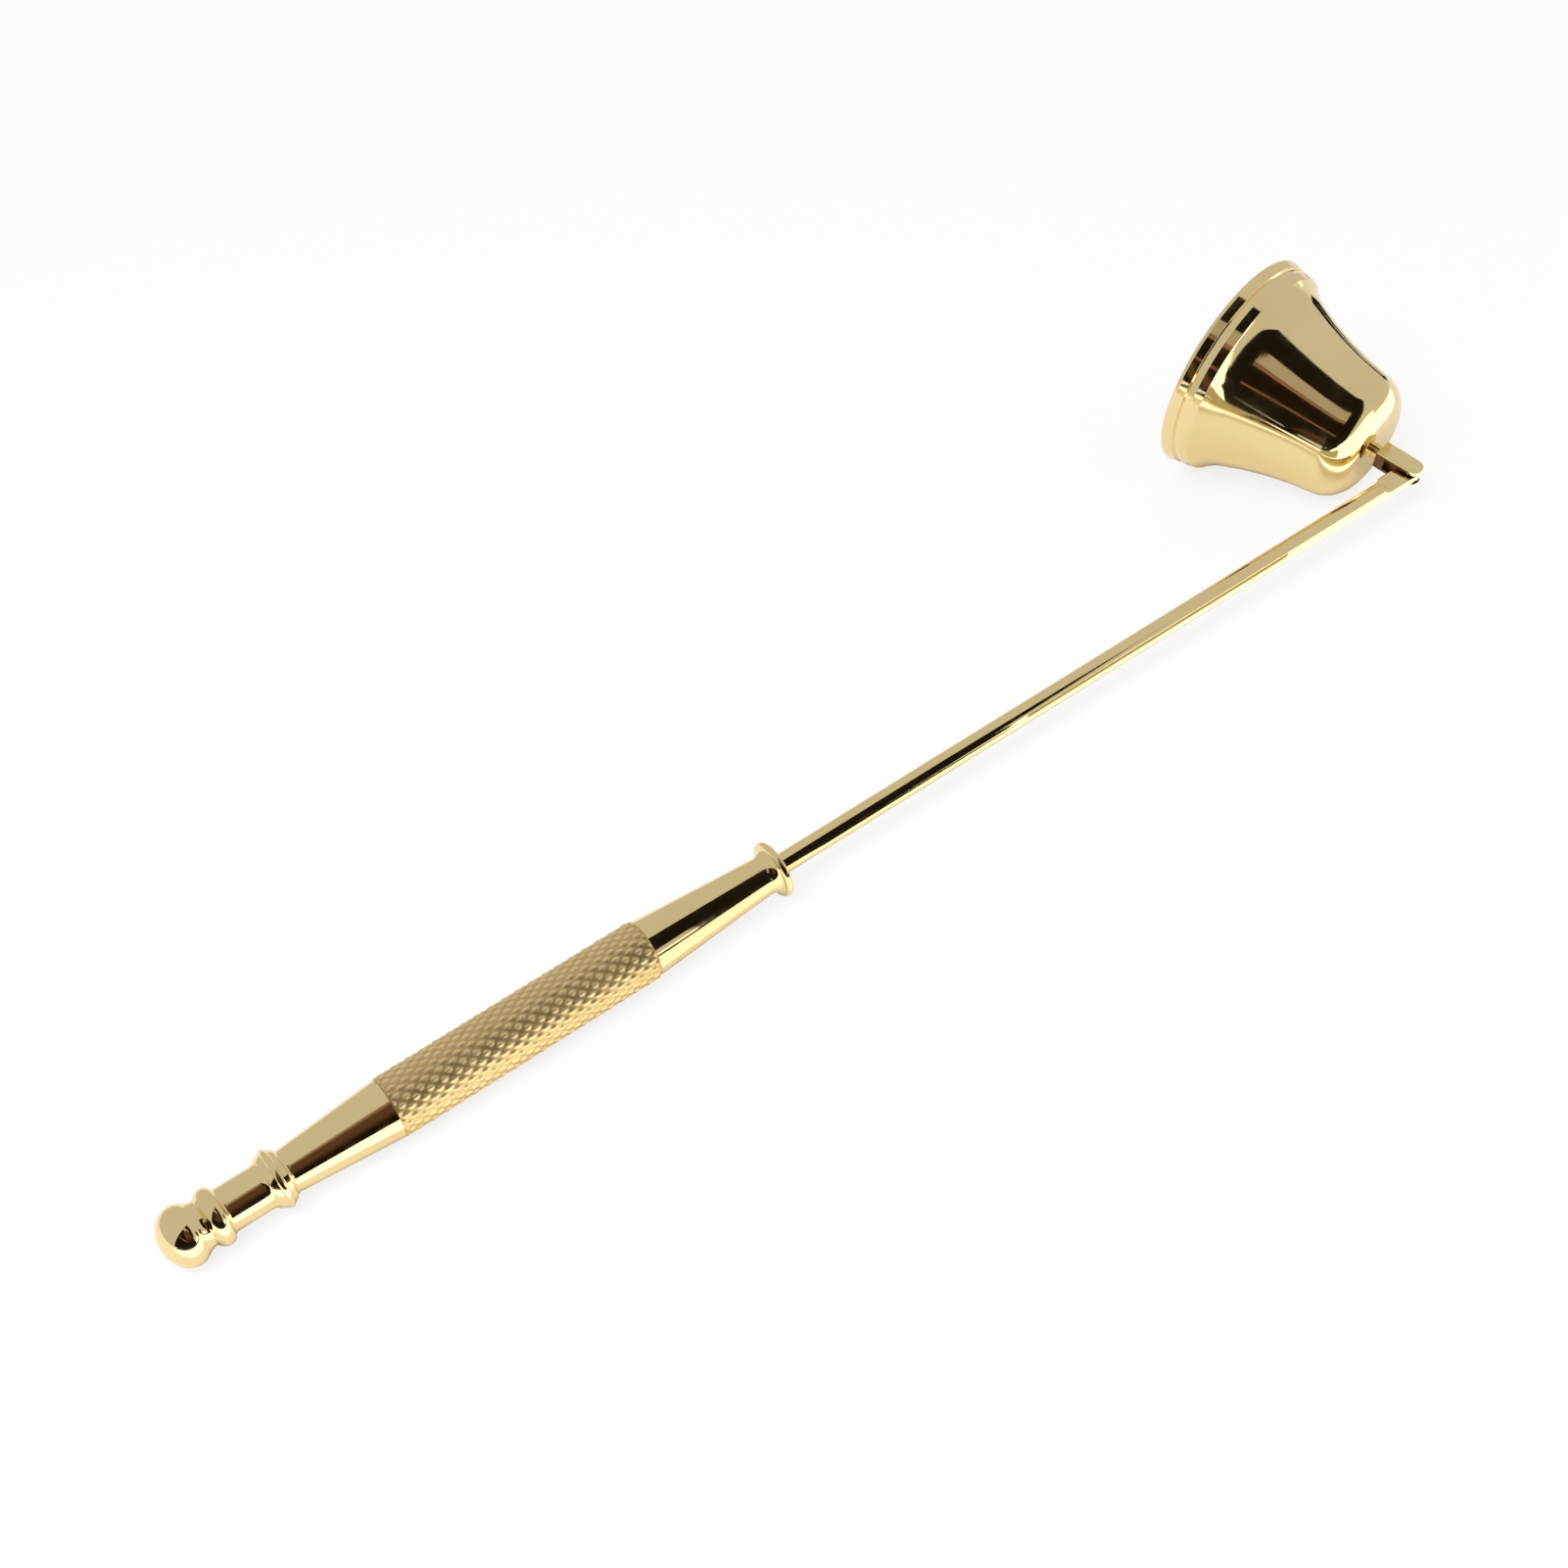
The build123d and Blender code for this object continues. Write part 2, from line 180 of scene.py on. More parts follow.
class RodSizes(bpy.types.PropertyGroup):
    """Sizes of the rod and its flat tongue."""

    diameter: size("Diameter", 3.0, "Thickness of the rod")
    tail: size("Tail", 78.0, "Station of the rod's end inside the handle")
    tongue_thickness: size("Tongue thickness", 1.3, "Thickness of the flat tongue")
    tongue_width: size("Tongue width", 3.3, "Width of the flat tongue")
    tongue_offset: size("Tongue offset", 0.25, "How far the tongue is set off towards the bell")
    tongue_length: size("Tongue length", 5.6, "From the end of the round rod to the hinge pin")
    tongue_lead: size("Tongue lead", 1.2, "Length over which the round rod flattens")
    tongue_root: size("Tongue root", 2.4, "Width of the tongue where it leaves the round rod")
    tongue_edge: size("Tongue edge", 0.2, "Round on the tongue's edges")
    edge_steps: count("Edge steps", 3, "Steps of the round on the tongue's edges")
    steps: count("Steps", 64, "Steps round the rod", lowest=16)


class BellSizes(bpy.types.PropertyGroup):
    """Sizes of the bell, with stations measured from its mouth."""

    mouth_reach: size("Mouth reach", 35.1, "From the mouth to the hinge pin")
    mouth_diameter: size("Mouth diameter", 36.4, "Largest diameter of the lip")
    mouth_bore: size("Mouth bore", 32.6, "Inner diameter at the mouth")
    mouth_land: size("Mouth land", 4.4, "Length of the straight bore at the mouth")
    lip_round: size("Lip round", 0.6, "Radius of the lip's rounded edge")
    band_slope: angle("Band slope", 14, "Slope of the lip band and of the second band")
    lip_end: size("Lip end", 2.05, "Station where the lip band ends")
    groove: ring("Groove", 2.25, 34.9, "the groove between the bands")
    band_start: size("Band start", 3.45, "Station where the second band begins")
    band_edge: ring("Band edge", 4.72, 34.15, "the centre of the second band's rounded edge")
    band_round: size("Band round", 0.25, "Radius of the second band's rounded edge")
    corner_round: size("Corner round", 0.1, "Radius of the bands' other corners")
    flare_slope: angle("Flare slope", 46, "Slope of the flare where it meets the second band")
    flare_end: ring("Flare end", 8.3, 29.74, "the body where the flare meets it")
    shoulder: ring("Shoulder", 22.6, 10.4, "the centre of the shoulder's arc")
    shoulder_radius: size("Shoulder radius", 5.6, "Radius of the shoulder's arc")
    shoulder_join: angle("Shoulder join", 7.65, "Slope of the body where it meets the shoulder")
    wall: size("Wall", 1.1, "Thickness of the shell")
    steps: count("Steps", 160, "Steps round the bell", lowest=32)


class HingeSizes(bpy.types.PropertyGroup):
    """Sizes of the fork, what holds it to the crown, and the hinge pin."""

    fork_width: size("Fork width", 3.2, "Width of the square fork")
    neck: size("Neck", 1.1, "Length of the stud that shows above the crown")
    slot: size("Slot", 2.0, "Width of the fork's slot")
    slot_depth: size("Slot depth", 4.2, "Depth of the slot below the hinge pin")
    fork_edge: size("Fork edge", 0.15, "Chamfer on the fork's edges")
    stud_diameter: size("Stud diameter", 2.4, "Thickness of the stud through the crown")
    stud_hole: size("Stud hole", 2.5, "Diameter of the crown's hole")
    stud_spare: size("Stud spare", 0.6, "How far the stud stands out of the nut")
    thread_pitch: size("Thread pitch", 0.45, "Pitch of the stud's thread")
    thread_depth: size("Thread depth", 0.12, "Depth of the stud's thread")
    washer_diameter: size("Washer diameter", 6.0, "Diameter of the washer in the crown")
    washer_thickness: size("Washer thickness", 0.5, "Thickness of the washer")
    washer_edge: size("Washer edge", 0.1, "Round on the washer's edges")
    nut_flats: size("Nut flats", 4.5, "Width of the nut across its flats")
    nut_thickness: size("Nut thickness", 1.8, "Thickness of the nut")
    nut_edge: size("Nut edge", 0.18, "Chamfer on the nut's edges")
    pin_diameter: size("Pin diameter", 1.5, "Thickness of the hinge pin")
    pin_clearance: size("Pin clearance", 0.03, "Clearance of the pin in the rod's tongue")
    pin_edge: size("Pin edge", 0.04, "Chamfer on the pin's ends")
    fork_steps: count("Fork steps", 16, "Steps of each quarter of the fork's round end")
    edge_steps: count("Edge steps", 2, "Steps of the chamfers on the fork and the nut")
    washer_steps: count("Washer steps", 64, "Steps round the washer", lowest=16)
    steps: count("Steps", 48, "Steps round the stud, the pin and their holes", lowest=16)


class Finishes(bpy.types.PropertyGroup):
    """Colours and gloss of the gold plating."""

    gold: colour("Gold", (0.93, 0.76, 0.40), "Colour of the polished plating")
    deep_gold: colour("Deep gold", (0.87, 0.66, 0.31), "Colour of the plating where it is thinner")
    # painted shade: these two dark browns colour the fork's slot and stand for the shade and dim
    # reflections in the narrow gap
    slot_shade: colour("Slot_shade", (0.20, 0.10, 0.04), "Colour of the metal in the fork's slot")
    deep_slot_shade: colour("Deep tarnish", (0.10, 0.05, 0.02), "Darkest colour in the fork's slot")
    # painted shade: the darker gold of the knurl's valleys stands for the shade between the diamonds
    valley_shade: colour("Valley gold", (0.68, 0.49, 0.21), "Colour of the plating in the knurl's valleys")
    tone: share("Tone", 0.35, "How much the thinner plating shows in patches")
    patch: size("Patch", 9, "Width of the patches of tone")
    patch_detail: count("Patch detail", 2, "Finer layers in the patches of tone", highest=15)
    smear: size("Smear", 3, "Width of the smears left by wiping")
    smear_detail: count("Smear detail", 4, "Finer layers in the smears", highest=15)
    line: size("Line", 0.35, "Spacing of the turning lines")
    line_detail: count("Line detail", 3, "Finer layers in the turning lines", highest=15)
    line_depth: size("Line depth", 0.002, "Depth of the turning lines")
    polish: share("Polish", 0.05, "Roughness of the cleanest plating")
    smeared: share("Smeared", 0.11, "Roughness of the plating under smears")
    rolled: share("Rolled", 0.42, "Roughness of the rolled knurl")
    satin: share("Satin", 0.30, "Roughness of the plating inside the bell")
    plain: share("Plain", 0.24, "Roughness of the washer and the nut")


class StageSettings(bpy.types.PropertyGroup):
    """Camera, floor and the light tent with its dark opening."""

    camera_place: position("Camera place", (-126.780, -229.745, 215.901), "Where the camera stands")
    camera_heading: angle("Camera heading", 62.466, "Direction of view in plan, from +X towards +Y")
    camera_drop: angle("Camera drop", 39.585, "How far the camera looks down")
    camera_roll: angle("Camera roll", -12.423, "Turn of the camera about its line of sight")
    lens: number("Lens", 52.842, "Focal length in millimetres, on a 36 mm sensor")
    near_limit: size("Near limit", 10, "Nearest distance that the camera shows")
    floor_width: size("Floor width", 6000, "Width of the floor")
    floor_colour: colour("Floor colour", (0.95, 0.95, 0.95), "Colour of the floor")
    floor_glow: share("Floor glow", 0.8, "Share of the floor's white that shadows leave alone")
    tent_light: colour("Tent light", (0.62, 0.61, 0.60), "Light of the tent's walls")
    lamp_place: position("Lamp place", (-500, -300, 900), "Where the soft lamp hangs")
    lamp_width: size("Lamp width", 700, "Width of the soft lamp")
    lamp_power: number("Lamp power", 6, "Power of the soft lamp", unit="POWER")
    opening: extent("Opening", (-400, 420, -350, 360), "the tent's dark opening, seen from the camera")
    cut_width: size("Cut width", 270, "Width of the opening's large cut corner")
    cut_height: size("Cut height", 370, "Height of the opening's large cut corner")
    corner_cut: size("Corner cut", 140, "Width of the small cut at the two corners beside it")
    opening_dark: colour("Opening dark", (0.012, 0.009, 0.007), "Light that comes through the opening")
    bar_turn: angle("Bar turn", 49.7, "Slope of the bars in the opening")
    bar_gap: size("Bar gap", 2, "From the opening to the bars in front of it")
    pale_bar: extent("Pale bar", (85, 190, -87, 87), "the pale bar in the opening")
    brown_bar: extent("Brown bar", (-105, 75, -87, 87), "the brown bar in the opening")
    low_edge: extent("Low edge", (-112, -96, -87, 87), "the brown bar's lower edge")
    high_edge: extent("High edge", (58, 80, -87, 87), "the brown bar's upper edge")
    pale_light: colour("Pale light", (0.42, 0.37, 0.33), "Light of the pale bar")
    dim_light: colour("Dim light", (0.014, 0.008, 0.005), "Light of the brown bar")
    edge_light: colour("Edge light", (0.28, 0.15, 0.10), "Light of the brown bar's edges")
    brown_light: colour("Brown light", (0.10, 0.055, 0.03), "Light of the brown flag's upper part")
    brown_foot: share("Brown foot", 0.05, "Share of that light at the flag's foot")
    brown_start: size("Brown start", 8, "Height at which the brown flag starts to lighten")
    brown_end: size("Brown end", 50, "Height at which the brown flag has its full light")
    flag_reach: size("Flag reach", 60, "From the hinge pin forward to the flags")
    dark_flag: extent("Dark flag", (-10, 50, 2, 40), "the dark flag before the rod")
    brown_flag: extent("Brown flag", (-120, -78, 2, 90), "the brown flag before the tail")
    dark_ground: extent("Dark ground", (-300, 30, -600, -54), "the dark part of the floor in front")
    side_reach: size("Side reach", 300, "From the middle to the low card beyond the hinge")
    low_card: extent("Low card", (40, 70, 0, 29), "the low dark card beyond the hinge")
    low_ground: extent("Low ground", (200, 300, 48, 70), "the dark part of the floor before that card")
    rod_ground: extent("Rod ground", (-8, 30, -54, -30), "the dark strip of floor beside the rod")
    rod_reach: size("Rod reach", 13, "From the hinge pin forward to the card beside the rod")
    rod_card: extent("Rod card", (30, 84, 0, 8), "the card beside the rod")
    rod_light: colour("Rod light", (0.46, 0.42, 0.28), "Light of the card beside the rod")
    front_sheet: extent("Front sheet", (-180, 400, -420, -29), "the white sheet on the floor in front")
    sheet_slant: size("Sheet slant", 24, "How much nearer the sheet's edge lies at its right end")
    sheet_lift: size("Sheet lift", 0.2, "Height of the sheet above the floor")
    front_strip: extent("Front strip", (70, 420, 0, 90), "the white strip at the sheet's far edge")
    strip_slant: size("Strip slant", 200, "How far the strip's left end leans")
    white: colour("White", (1, 0.99, 0.97), "Colour of the light of the sheet and the strip")
    front_light: number("Front light", 1.9, "Light of the sheet and the strip")
    middle_light: number("Middle light", 1.3, "Light of the sheet before the collar")
    middle: size("Middle", -20, "Place of the collar along the sheet", -200)
    middle_reach: size("Middle reach", 70, "From the collar to where the sheet has its full light")


GROUPS = {
    "snuffer_handle": HandleSizes,
    "snuffer_knurl": KnurlSizes,
    "snuffer_rod": RodSizes,
    "snuffer_bell": BellSizes,
    "snuffer_hinge": HingeSizes,
    "snuffer_finish": Finishes,
    "snuffer_stage": StageSettings,
}


# Outlines of turned pieces, drawn as radius and station
def at(place):
    """The radius and the station of a place that is kept as station and diameter."""
    station, diameter = place
    return diameter / 2, station


def rotated(direction, by):
    """A direction in the plane of the outline, turned by an angle."""
    cos, sin = math.cos(by), math.sin(by)
    return Vector((direction.x * cos - direction.y * sin, direction.x * sin + direction.y * cos))


def turn_between(first, second):
    """The signed angle from one direction to another."""
    return math.atan2(first.x * second.y - first.y * second.x, first.dot(second))


class Outline:
    """A line of points with the heading that it last had."""

    def __init__(self, radius, station, heading=(0, 1)):
        self.points = [Vector((radius, station))]
        self.heading = Vector(heading).normalized()

    def line(self, radius, station):
        """Goes straight to a point."""
        end = Vector((radius, station))
        self.heading = (end - self.points[-1]).normalized()
        self.points.append(end)
        return self

    def arc(self, radius, station, heading=None):
        """Goes round an arc that starts on the present heading, or on one that is given."""
        start = self.points[-1]
        chord = Vector((radius, station)) - start
        first = Vector(heading).normalized() if heading else self.heading
        half = turn_between(first, chord)
        steps = max(3, math.ceil(abs(2 * half) / ARC_STEP))
        for step in range(1, steps + 1):
            part = half * step / steps
            length = chord.length * math.sin(part) / math.sin(half)
            self.points.append(start + rotated(first, part) * length)
        self.heading = rotated(first, 2 * half)
        return self

    def bend(self, corner, after, rounding):
        """Goes straight to a corner and rounds it towards the point after it."""
        first = (corner - self.points[-1]).normalized()
        second = (after - corner).normalized()
        cut = rounding * math.tan(abs(turn_between(first, second)) / 2)
        self.line(*(corner - first * cut))
        return self.arc(*(corner + second * cut))

    def arc_into(self, radius, station, heading):
        """Goes round an arc that ends on a given heading."""
        chord = (Vector((radius, station)) - self.points[-1]).normalized()
        return self.arc(radius, station, rotated(chord, -turn_between(chord, Vector(heading))))

    def arc_through(self, middle, end):
        """Goes round the arc through a middle point to an end point."""
        start, middle, end = self.points[-1], Vector(middle), Vector(end)
        bend = turn_between(middle - start, end - middle)
        lean = abs(turn_between(start - end, middle - end))
        return self.arc(*end, rotated(middle - start, -math.copysign(lean, bend)))


# Modelling steps
def deselect():
    """Leaves edit mode and deselects every object."""
    if bpy.context.object and bpy.context.object.mode != "OBJECT":
        leave()
    bpy.ops.object.select_all(action="DESELECT")


def select(*pieces):
    """Selects only these pieces and makes the last one active."""
    deselect()
    for piece in pieces:
        piece.select_set(True)
        bpy.context.view_layer.objects.active = piece


def edit(kind, action="SELECT"):
    """Enters edit mode with all vertices, edges or faces selected, or none."""
    bpy.ops.object.mode_set(mode="EDIT")
    bpy.ops.mesh.select_mode(type=kind)
    bpy.ops.mesh.select_all(action=action)


def leave():
    """Leaves edit mode."""
    bpy.ops.object.mode_set(mode="OBJECT")


def named(name):
    """Names the object that was just added."""
    piece = bpy.context.object
    piece.name = name
    piece.data.name = name
    return piece


def pick(piece, chosen, kind="VERT"):
    """Selects the vertices, edges or faces of a piece that pass a test, and enters edit mode."""
    edit(kind, "DESELECT")
    leave()
    mesh = piece.data
    if kind == "VERT":
        for vertex in mesh.vertices:
            vertex.select = chosen(vertex.co)
    elif kind == "EDGE":
        for edge in mesh.edges:
            edge.select = chosen(*(mesh.vertices[i].co for i in edge.vertices))
    else:
        for face in mesh.polygons:
            face.select = chosen(face)
    bpy.ops.object.mode_set(mode="EDIT")


def trace(name, points):
    """Shrinks a small plane to one vertex and extrudes it along points given as radius and station."""
    deselect()
    bpy.ops.mesh.primitive_plane_add(size=MM)
    piece = named(name)
    edit("VERT")
    bpy.ops.mesh.merge(type="CENTER")
    bpy.ops.transform.translate(value=(points[0].x, 0, points[0].y))
    for before, after in zip(points, points[1:]):
        step = after - before
        bpy.ops.mesh.extrude_vertices_move(TRANSFORM_OT_translate={"value": (step.x, 0, step.y)})
    return piece


def turn(name, outline, steps):
    """Spins an outline round the Z axis into a closed turned piece."""
    piece = trace(name, outline.points)
    bpy.ops.mesh.select_all(action="SELECT")
    bpy.ops.mesh.spin(steps=steps, angle=2 * math.pi, center=(0, 0, 0), axis=(0, 0, 1))
    clean()
    leave()
    return piece


def clean():
    """Merges double points and turns all faces outwards, in edit mode."""
    bpy.ops.mesh.select_all(action="SELECT")
    bpy.ops.mesh.remove_doubles(threshold=MERGE_DISTANCE)
    bpy.ops.mesh.normals_make_consistent(inside=False)


def combine(piece, tool, operation):
    """Joins a second shape to a piece, or cuts it away, and removes the second shape."""
    select(piece)
    change = piece.modifiers.new(operation.title(), "BOOLEAN")
    change.operation = operation
    change.object = tool
    change.solver = "EXACT"
    bpy.ops.object.modifier_apply(modifier=change.name)
    bpy.data.objects.remove(tool)


def rod_shape(name, diameter, start, end, steps):
    """A plain round bar along Z, used to join or cut."""
    bar = Outline(0, start).line(diameter / 2, start).line(diameter / 2, end).line(0, end)
    return turn(name, bar, steps)


def box(ends, up=0, left=0):
    """The corners of a card, whose right end may lie higher and whose left end may lean."""
    start, end, low, high = ends
    return (start, low), (end, low), (end, high + up), (start + left, high)


def block_shape(name, low, high):
    """A plain block between two corners, used as a start or to cut."""
    deselect()
    bpy.ops.mesh.primitive_cube_add(size=1)
    piece = named(name)
    low, high = Vector(low), Vector(high)
    piece.location = (low + high) / 2
    piece.scale = high - low
    bpy.ops.object.transform_apply()
    return piece


def lay_across(piece, station):
    """Turns a bar from along Z to across it, at a station."""
    piece.matrix_world = Matrix.Translation((0, 0, station)) @ Matrix.Rotation(math.pi / 2, 4, "Y")
    bpy.ops.object.transform_apply()


def seat(scene, body):
    """The place of a body, whose stations start at the knob's tail or in the middle of the bell's mouth."""
    if body == "handle":
        along, reach = HANDLE_AXIS, scene.snuffer_handle.reach
    else:
        along, reach = -MOUTH_AXIS, scene.snuffer_bell.mouth_reach
    side = along.cross(PIN_AXIS).normalized()
    turned = Matrix((side.cross(along), side, along)).transposed()
    return Matrix.Translation(PIN_PLACE - along * reach) @ turned.to_4x4()


def fit(piece, scene, body, node, slot, *finishes):
    """Puts a piece that was modelled along Z on its body, in its finish, in place of a solid."""
    select(piece)
    piece.matrix_world = seat(scene, body)
    bpy.ops.object.transform_apply()
    bpy.ops.object.shade_smooth_by_angle(angle=CREASE_ANGLE)
    piece.data.materials.clear()
    for finish in finishes:
        piece.data.materials.append(bpy.data.materials[finish])
    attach(piece, body)
    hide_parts(node)


def paint(piece, place, chosen):
    """Gives the second finish to the faces whose middle and normal, seen from a place, pass a test."""
    inward = place.inverted()
    for face in piece.data.polygons:
        if chosen(inward @ face.center, inward.to_3x3() @ face.normal):
            face.material_index = 1


def crown_stations(scene):
    """Stations of the crown's inside and of the fork's foot."""
    bell = scene.snuffer_bell
    outside = at(bell.shoulder)[1] + bell.shoulder_radius
    return outside - bell.wall, outside + scene.snuffer_hinge.neck


# Finishes
class Wiring:
    """The nodes of a new material or world, with links made as they are added."""

    def __init__(self, block):
        block.use_nodes = True
        self.block, self.tree = block, block.node_tree
        outputs = (node for node in self.tree.nodes if node.bl_idname.startswith("ShaderNodeOutput"))
        self.end = next(outputs).inputs["Surface"]
        self.shader = self.end.links[0].from_node

    def add(self, kind, inputs=None, **settings):
        """Adds a node with its settings, and with numbers or links on its inputs."""
        node = self.tree.nodes.new("ShaderNode" + kind)
        for name, value in settings.items():
            setattr(node, name, value)
        for name, value in (inputs or {}).items():
            self.put(node.inputs[name], value)
        return node

    def put(self, socket, value):
        """Sets a socket to a number, or links it to another node's output."""
        if isinstance(value, bpy.types.NodeSocket):
            self.tree.links.new(value, socket)
        else:
            socket.default_value = value

    def surface(self, shader):
        """Makes another shader the one that shows."""
        self.put(self.end, shader.outputs[0])
        if not self.shader.outputs[0].links:
            self.tree.nodes.remove(self.shader)
        self.shader = shader

    def mix(self, share, first, second):
        """Mixes two shaders and makes the mix the one that shows."""
        parts = {0: share, 1: first.outputs[0], 2: second.outputs[0]}
        self.surface(self.add("MixShader", parts))

    def noise(self, place, width, detail):
        """Soft noise whose patches are about as wide as given."""
        return self.add("TexNoise", {"Vector": place, "Scale": 1 / width, "Detail": detail}).outputs["Fac"]

    def between(self, value, low, high, source=NOISE_RANGE):
        """A value spread softly from a source range to two numbers."""
        ends = {"From Min": source[0], "From Max": source[1], "To Min": low, "To Max": high}
        spread = self.add("MapRange", {"Value": value, **ends}, interpolation_type="SMOOTHSTEP")
        return spread.outputs["Result"]

    def blend(self, factor, first, second):
        """A colour between two colours."""
        mix = self.add("Mix", data_type="RGBA")
        self.put(mix.inputs[MIX_FACTOR], factor)
        self.put(mix.inputs[MIX_FIRST], first if isinstance(first, bpy.types.NodeSocket) else (*first, 1))
        self.put(mix.inputs[MIX_SECOND], (*second, 1))
        return mix.outputs[MIX_RESULT]


def plated_gold(finish, name, place, clean, smeared, valley=None, tones=None):
    """Gold plating with turning lines round a piece's axis, wiping smears and small changes of tone; given
    tones take the place of the two golds (the painted shade of the fork's slot), and given valley radii add
    painted shade that darkens the knurl's valleys.
    """
    wiring = Wiring(bpy.data.materials.new(name))
    inward = place.inverted()
    spot = wiring.add("TexCoord").outputs["Object"]
    local = wiring.add(
        "Mapping", {"Vector": spot, "Location": inward.translation, "Rotation": inward.to_euler()})
    local = local.outputs["Vector"]
    split = wiring.add("SeparateXYZ", {"Vector": local})
    patches = wiring.noise(local, finish.patch, finish.patch_detail)
    smears = wiring.noise(local, finish.smear, finish.smear_detail)
    light, deep = tones or (finish.gold, finish.deep_gold)
    gold = wiring.blend(wiring.between(patches, 0, finish.tone), light, deep)
    rough = wiring.between(smears, clean, smeared)
    # painted shade: the gold darkens towards the valley colour as the radius falls into the knurl's valleys
    if valley:
        flat = wiring.add("CombineXYZ", {"X": split.outputs["X"], "Y": split.outputs["Y"]})
        radius = wiring.add("VectorMath", {0: flat.outputs["Vector"]}, operation="LENGTH").outputs["Value"]
        depth = wiring.between(radius, 1, 0, valley)
        gold = wiring.blend(depth, gold, finish.valley_shade)
    spacing = {"Scale": 1 / finish.line, "Detail": finish.line_detail}
    lines = wiring.add("TexNoise", {"W": split.outputs["Z"], **spacing}, noise_dimensions="1D")
    bump = wiring.add("Bump", {"Height": lines.outputs["Fac"], "Distance": finish.line_depth})
    wiring.put(wiring.shader.inputs["Base Color"], gold)
    wiring.put(wiring.shader.inputs["Roughness"], rough)
    wiring.put(wiring.shader.inputs["Normal"], bump.outputs["Normal"])
    wiring.put(wiring.shader.inputs["Metallic"], 1)


# Pieces
class SNUFFER_OT_knob(bpy.types.Operator):
    """Turns the round knob with the spigot that closes the handle"""

    bl_idname = "snuffer.knob"
    bl_label = "Turn Knob"

    def execute(self, context):
        sizes = context.scene.snuffer_handle
        radius, crest = at(sizes.knob_crest)
        side_height = radius - sizes.knob_side
        rise = crest - sizes.knob_side
        cap = (crest ** 2 + side_height ** 2 - sizes.knob_side ** 2) / (2 * rise)
        cap_angle = math.atan2(side_height, cap - crest)
        _, neck = at(sizes.neck)
        spigot, end = sizes.bore / 2, neck + sizes.knob_spigot
        outline = Outline(0, 0, heading=(1, 0))
        outline.arc(cap * math.sin(cap_angle), cap - cap * math.cos(cap_angle))
        for place in (sizes.knob_crest, sizes.knob_fall, sizes.neck):
            outline.arc(*at(place))
        outline.line(spigot, neck).line(spigot, end).line(0, end)
        piece = turn("knob_turned", outline, sizes.steps)
        fit(piece, context.scene, "handle", "knob", "handle_gold", "handle_plating")
        return {"FINISHED"}


